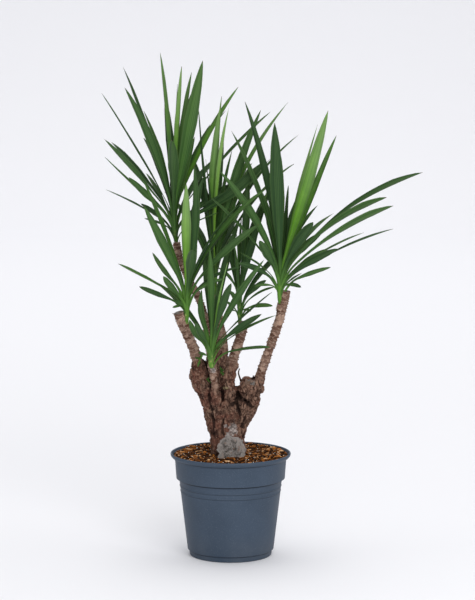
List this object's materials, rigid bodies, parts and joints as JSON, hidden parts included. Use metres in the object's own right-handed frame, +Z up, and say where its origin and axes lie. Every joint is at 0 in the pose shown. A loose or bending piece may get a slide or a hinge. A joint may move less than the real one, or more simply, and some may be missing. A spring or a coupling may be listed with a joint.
{
  "type": "potted yucca",
  "caption": "Potted yucca: a gnarled woody trunk whose canes carry heads of sword-shaped leaves, standing in soil in a dark blue-grey plastic nursery pot.",
  "frame": {"origin": "middle of the pot's flat base, on the surface that it stands on", "axes": "+Z up; +X to the right and +Y to the back, as the picture shows the plant"},
  "size_m": [0.916, 0.5267, 1.4583],
  "materials": {
    "pot_plastic": "satin",
    "soil": "matte",
    "bark": "matte",
    "leaf": "satin"
  },
  "bodies": {
    "root": {"pot": "pot_plastic", "soil": "soil", "trunk": "bark", "head_upper_left": "leaf", "head_left": "leaf", "head_front": "leaf", "head_right": "leaf", "head_middle": "leaf", "head_back": "leaf", "sprout_left": "leaf", "sprout_middle": "leaf", "sprout_low": "leaf"}
  },
  "joints": []
}
